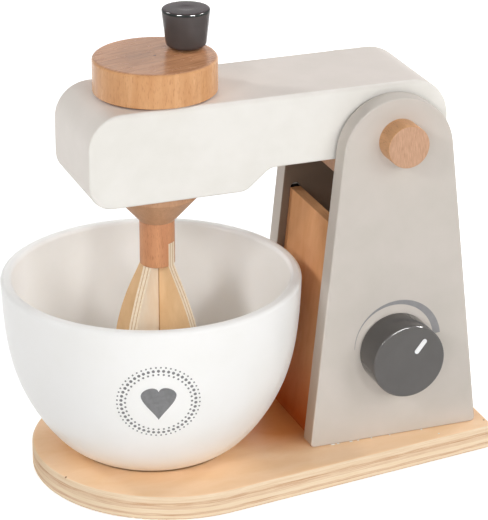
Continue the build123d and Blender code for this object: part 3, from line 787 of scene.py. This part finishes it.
# %% Press the print onto the bowl
bowl_low, bowl_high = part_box("bowl")
bowl_x = (bowl_low.x + bowl_high.x) / 2
PRINT_AZIMUTH, PRINT_Z = radians(-106.2), 61.6 * MM
FLAT_AT = 80  # how far in front of the bowl's axis the print is drawn, in millimetres
outwards = Vector((cos(PRINT_AZIMUTH), sin(PRINT_AZIMUTH), 0))
rightwards = Vector((-sin(PRINT_AZIMUTH), cos(PRINT_AZIMUTH), 0))
heart.matrix_world = Matrix.Translation(Vector((bowl_x, 0, PRINT_Z)) + outwards * FLAT_AT * MM) @ \
    Matrix((rightwards, UP, outwards)).transposed().to_4x4()
press = heart.modifiers.new("press", "SHRINKWRAP")
press.target = nodes["bowl"]
press.wrap_method = "PROJECT"
press.use_project_z = True
press.use_negative_direction = True
press.use_positive_direction = False
press.offset = INK_GAP
bpy.ops.object.modifier_apply(modifier="press")
bpy.ops.object.transform_apply(location=True, rotation=True, scale=True)
thicken_print(heart, 1)
heart.data.materials.append(print_ink)
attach(heart, "bowl")
low, high = [Vector(f(v.co[i] for v in heart.data.vertices) for i in range(3)) for f in (min, max)]
print("print on the bowl from", [round(c / MM, 1) for c in low], "to", [round(c / MM, 1) for c in high])

# %% [markdown]
# ## Glue at the tower's foot
#
# Where the dial's panel meets the board a few tiny drops of glue were squeezed out and dried. One
# drop is a ball that is cut level and flattened. The others are copies of it, stretched
# differently.

# %% Glue drops
bpy.ops.object.select_all(action="DESELECT")
bpy.ops.mesh.primitive_uv_sphere_add(segments=20, ring_count=12, radius=MM)
drop = bpy.context.object
bpy.ops.object.mode_set(mode="EDIT")
bpy.ops.mesh.select_mode(type="FACE")
bpy.ops.mesh.select_all(action="SELECT")
bpy.ops.transform.resize(value=(0.55, 0.34, 0.42))
bpy.ops.mesh.bisect(plane_co=(0, 0, -0.08 * MM), plane_no=(0, 0, 1), use_fill=True,
                    clear_inner=True)
bpy.ops.object.mode_set(mode="OBJECT")
DROPS = [  # x and y in millimetres, and how far the drop is stretched along x
    (33.3, -38.15, 2.2), (35.9, -38.1, 1.3), (42.5, -38.15, 1.6), (46.2, -38.1, 1.0),
    (53.0, -38.1, 0.8), (62.5, -38.1, 0.7), (79.0, -38.15, 0.9), (85.0, -45.0, 0.7),
]
DROP_Z, DROP_FLATNESS = 12.05, 0.8
drops = []
for x, y, length in DROPS:
    copy = copy_of(drop)
    copy.location = Vector((x, y, DROP_Z)) * MM
    copy.scale = (length, 1, DROP_FLATNESS)
    drops.append(copy)
bpy.data.objects.remove(drop)
glue_drops = drops[0]
join(*drops)
bpy.ops.object.transform_apply(location=True, rotation=True, scale=True)
glue_drops.name = "glue_drops"
smooth(glue_drops)
glue_drops.data.materials.append(glue)
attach(glue_drops, "stand")
print("glue drops:", len(drops), "with", len(glue_drops.data.polygons), "faces")

# %% [markdown]
# ## The floor
#
# The mixer stands on a plain white floor. A camera that looks at it should see pure white with
# a soft shadow, so the floor glows just enough for camera and mirror rays to bring the lit part
# up to white. Further out, where the lamps hardly reach, it glows more. The glow is left out of
# the light on the mixer.

# %% White floor
FLOOR_SIZE, FLOOR_Z = 20, -0.0002  # in metres, just below the board


def seen_directly(tree):
    """1 for what the camera sees, also in a mirror or through glass, and 0 for soft light."""
    rays = add_node(tree, "LightPath")
    seen = add_node(tree, "Math", {0: rays.outputs["Is Camera Ray"],
                                   1: rays.outputs["Is Glossy Ray"]}, operation="MAXIMUM")
    return add_node(tree, "Math", {0: seen.outputs["Value"],
                                   1: rays.outputs["Is Transmission Ray"]},
                    operation="MAXIMUM").outputs["Value"]


bpy.ops.object.select_all(action="DESELECT")
bpy.ops.mesh.primitive_plane_add(size=FLOOR_SIZE, location=(0, 0, FLOOR_Z))
floor = bpy.context.object
floor.name = "floor"
floor_paper = bpy.data.materials.new("white backdrop paper")
floor_paper.use_nodes = True
tree = floor_paper.node_tree
tree.nodes.clear()
where = add_node(tree, "TexCoord")
away = add_node(tree, "VectorMath", {0: where.outputs["Object"]}, operation="LENGTH")
needed = add_node(tree, "MapRange", {"Value": away.outputs["Value"], "From Min": 0.8,
                                     "From Max": 3.0, "To Min": 0.6, "To Max": 1.0})
strength = add_node(tree, "Math", {0: seen_directly(tree), 1: needed.outputs["Result"]},
                    operation="MULTIPLY")
glow = add_node(tree, "Emission", {"Color": WHITE, "Strength": strength.outputs["Value"]})
paper = add_node(tree, "BsdfDiffuse", {"Color": (0.8, 0.8, 0.8, 1)})
both = add_node(tree, "AddShader", {0: paper.outputs["BSDF"], 1: glow.outputs["Emission"]})
add_node(tree, "OutputMaterial", {"Surface": both.outputs["Shader"]})
floor.data.materials.append(floor_paper)

# %% [markdown]
# ## Light
#
# The sky is white for the camera and for mirrors, and very weak as a light. Four softboxes stand
# round the toy, at the left, in front, at the right and behind. Three large white cards between
# them throw back soft light, which fills the bowl and keeps the shadows pale, and one more lights
# the far side. All are kept out of mirrors, because low lamps would glare on every level top that
# is seen from the far side.

# %% Sky
world = bpy.data.worlds.new("studio")
bpy.context.scene.world = world
world.use_nodes = True
tree = world.node_tree
tree.nodes.clear()
ambient = add_node(tree, "Background", {"Color": WHITE, "Strength": 0.06})
backdrop = add_node(tree, "Background", {"Color": WHITE, "Strength": 1.0})
sky = add_node(tree, "MixShader", {0: seen_directly(tree), 1: ambient.outputs["Background"],
                                   2: backdrop.outputs["Background"]})
add_node(tree, "OutputWorld", {"Surface": sky.outputs["Shader"]})

# %% Softboxes and white cards
TARGET = Vector((0, 0, 0.10))
LAMP_DISTANCE = 2.2


def softbox(name, azimuth, elevation, width, height, power):
    """A rectangular lamp that looks at the mixer from a direction given in degrees."""
    a, e = radians(azimuth), radians(elevation)
    away = Vector((cos(a) * cos(e), sin(a) * cos(e), sin(e)))
    lamp = bpy.data.lights.new(name, "AREA")
    lamp.shape = "RECTANGLE"
    lamp.size, lamp.size_y = width, height
    lamp.energy = power
    holder = bpy.data.objects.new(name, lamp)
    bpy.context.scene.collection.objects.link(holder)
    holder.location = TARGET + away * LAMP_DISTANCE
    holder.rotation_euler = away.to_track_quat("Z", "Y").to_euler()
    return holder


LAMPS = {  # azimuth, elevation, width, height and power
    "left softbox": (-145, 31, 0.3, 0.3, 8.8),
    "front softbox": (-86, 21, 0.3, 0.3, 7.7),
    "right softbox": (-3, 42, 0.3, 0.3, 9.0),
    "rear softbox": (137, 32, 0.35, 0.35, 13.0),
    "front white card": (-115, 20, 1.2, 1.0, 11.6),
    "front right white card": (-60, 30, 1.0, 1.0, 11.4),
    "right white card": (22, 28, 1.0, 0.9, 16.8),
    "back white card": (85, 12, 1.2, 0.8, 11),
}
for name, values in LAMPS.items():
    softbox(name, *values).visible_glossy = False
print("lamps:", len(LAMPS))

# %% [markdown]
# ## Dashes on the gloss
#
# The lacquer on the knob and the dial is so glossy that lamps show as long bright dashes on their
# rounded edges. Strips near the softboxes give only those dashes. Each strip lights only the
# piece it is linked to, and only as a mirror image. The knob has a level top, which would mirror
# a low strip, so none of its strips stands lower than the dial's, and three stand higher.

# %% Strips for the gloss
STRIP_HEIGHT = 0.35
STRIPS = {  # azimuth, elevation, width, power, and the piece that mirrors the strip
    "knob left strip": (-145, 42, 0.7, 800, knob),
    "knob front strip": (-76, 36, 0.8, 800, knob),
    "knob right strip": (-16, 42, 0.7, 340, knob),
    "knob rear strip": (137, 42, 0.6, 100, knob),
    "dial left strip": (-145, 31, 0.4, 60, dial),
    "dial front strip": (-79, 21, 1.1, 150, dial),
    "dial right strip": (-14, 42, 0.8, 110, dial),
    "dial rear strip": (137, 32, 0.5, 70, dial),
}
for name, (azimuth, elevation, width, power, piece) in STRIPS.items():
    strip = softbox(name, azimuth, elevation, width, STRIP_HEIGHT, power)
    strip.visible_diffuse = False
    strip.light_linking.receiver_collection = bpy.data.collections.new("lit by " + name)
    strip.light_linking.receiver_collection.objects.link(piece)
print("strips:", len(STRIPS))

# %% [markdown]
# ## Camera
#
# A long lens from a metre and a quarter away, above the toy and to its left.

# %% Camera
lens = bpy.data.cameras.new("camera")
lens.sensor_width = 36
lens.lens = 185.18
lens.clip_start = 0.1
camera = bpy.data.objects.new("camera", lens)
bpy.context.scene.collection.objects.link(camera)
camera.location = (-0.40461, -1.08708, 0.58054)
camera.rotation_euler = (radians(67.36), 0, radians(-20.53))
bpy.context.scene.camera = camera
bpy.context.scene.view_settings.view_transform = "Standard"
